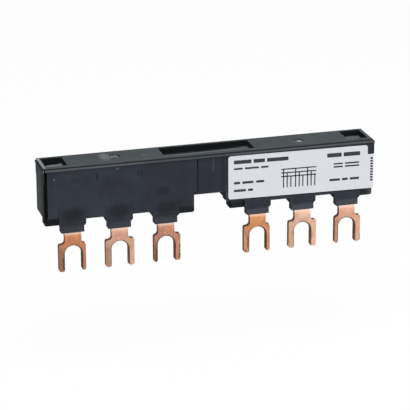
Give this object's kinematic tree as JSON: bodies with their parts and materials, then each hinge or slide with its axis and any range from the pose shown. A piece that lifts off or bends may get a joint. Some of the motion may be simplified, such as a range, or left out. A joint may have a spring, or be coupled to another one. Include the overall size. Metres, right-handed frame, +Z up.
{
  "type": "comb busbar",
  "caption": "Insulated comb busbar whose copper forks feed neighbouring motor circuit breakers from one set of bars.",
  "frame": {"origin": "middle of the overall box", "axes": "+X along the bar, to the right in the front view; +Y from the front face to the back; +Z up, with the forks pointing down"},
  "size_m": [0.097, 0.011, 0.0306],
  "materials": {
    "body_plastic": "fine satin grain",
    "panel_plastic": "fine satin grain",
    "copper_amber": "bare rolled copper",
    "copper_pale": "bare rolled copper",
    "copper_rose": "bare rolled copper",
    "separator_plastic": "plain sheet"
  },
  "bodies": {
    "root": {"rear_body": "body_plastic", "front_panel": "panel_plastic", "bar_one": "copper_amber", "bar_two": "copper_pale", "bar_three": "copper_rose", "front_separator": "separator_plastic", "rear_separator": "separator_plastic"}
  },
  "joints": []
}
